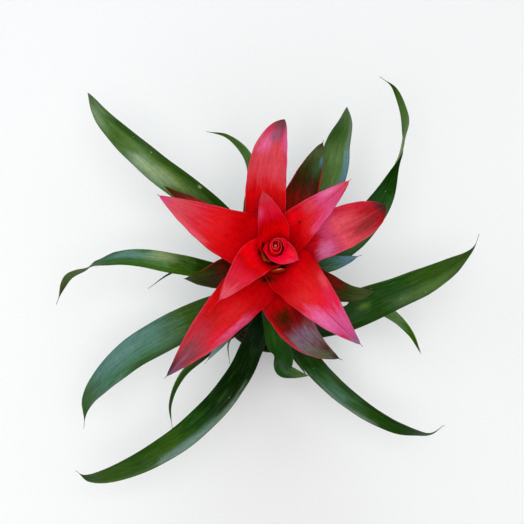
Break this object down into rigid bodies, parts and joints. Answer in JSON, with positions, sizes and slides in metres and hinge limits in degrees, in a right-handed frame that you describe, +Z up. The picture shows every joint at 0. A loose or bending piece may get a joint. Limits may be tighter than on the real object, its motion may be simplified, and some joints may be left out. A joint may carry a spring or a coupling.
{
  "type": "potted guzmania",
  "caption": "Potted bromeliad: arching strap leaves round a flower stem that carries a star of red bracts with a rolled heart, in a plain round nursery pot.",
  "frame": {"origin": "middle of the pot's flat underside, on the surface that the pot stands on, with the flower stem straight above it", "axes": "+Z up along the flower stem, -Y towards the front of the plant, the side that the picture is taken from, +X to the right seen from there"},
  "size_m": [0.4301, 0.4201, 0.411],
  "materials": {
    "pot_plastic": "near-black moulded plastic with a faint red-brown tint, satin on the rim, faint ribs on the wall",
    "potting_mix": "dark brown peat and bark, lumpy and matt",
    "stem_green": "green stem, lengthwise fibres, satin",
    "leaf_deep": "dark green leaf, fine lengthwise veins, waxy soft gloss, paler underside",
    "leaf_fresh": "fresh green leaf, yellow-green along the middle, fine lengthwise veins, waxy soft gloss",
    "leaf_blue": "blue-green leaf with a grey bloom, fine lengthwise veins, waxy soft gloss",
    "stem_leaf_olive": "olive brown leaf, redder towards its foot, fine veins, satin",
    "stem_leaf_wine": "dark wine-brown leaf, green towards its tip, fine veins, satin",
    "bract_red": "red bract, pink along its outer part, dark tip, fine lengthwise streaks, satin",
    "bract_pink": "bright pink-red bract, red towards its foot, lengthwise streaks, satin",
    "bract_stained": "red bract with brown and violet staining on its outer half, red margins, satin",
    "floral_orange": "orange-red floral bract with a pale tan edge",
    "bud_tan": "tan and cream flower bud"
  },
  "bodies": {
    "root": {"pot": "pot_plastic", "potting_mix": "potting_mix", "flower_stem": "stem_green", "leaf_back_short": "leaf_blue", "leaf_front_curled": "leaf_fresh", "leaf_back_left_long": "leaf_fresh", "leaf_right_wide": "leaf_deep", "leaf_left_wide": "leaf_blue", "leaf_back_right_twisted": "leaf_deep", "leaf_front_left_long": "leaf_deep", "leaf_back_small": "leaf_deep", "leaf_left_twisted": "leaf_deep", "leaf_right_small": "leaf_fresh", "leaf_front_right_long": "leaf_deep", "leaf_left_needle": "leaf_deep", "leaf_front_left_thin": "leaf_deep", "leaf_front_narrow": "leaf_fresh", "leaf_front_left_needle": "leaf_blue", "stem_leaf_right": "leaf_blue", "stem_leaf_front_left": "leaf_blue", "stem_leaf_front_right": "stem_leaf_olive", "stem_leaf_left": "stem_leaf_olive", "stem_leaf_back_right": "stem_leaf_wine", "stem_leaf_back_left": "stem_leaf_wine", "bract_front": "bract_stained", "bract_right": "bract_red", "bract_front_left": "bract_stained", "bract_back": "bract_red", "bract_left": "bract_red", "bract_front_right": "bract_pink", "bract_back_right": "bract_pink", "bract_inner_left": "bract_pink", "bract_inner_back": "bract_red", "bract_inner_right": "bract_red", "floral_bract_left": "floral_orange", "floral_bract_front": "floral_orange", "bract_rolled_heart": "bract_red", "flower_bud": "bud_tan"}
  },
  "joints": []
}
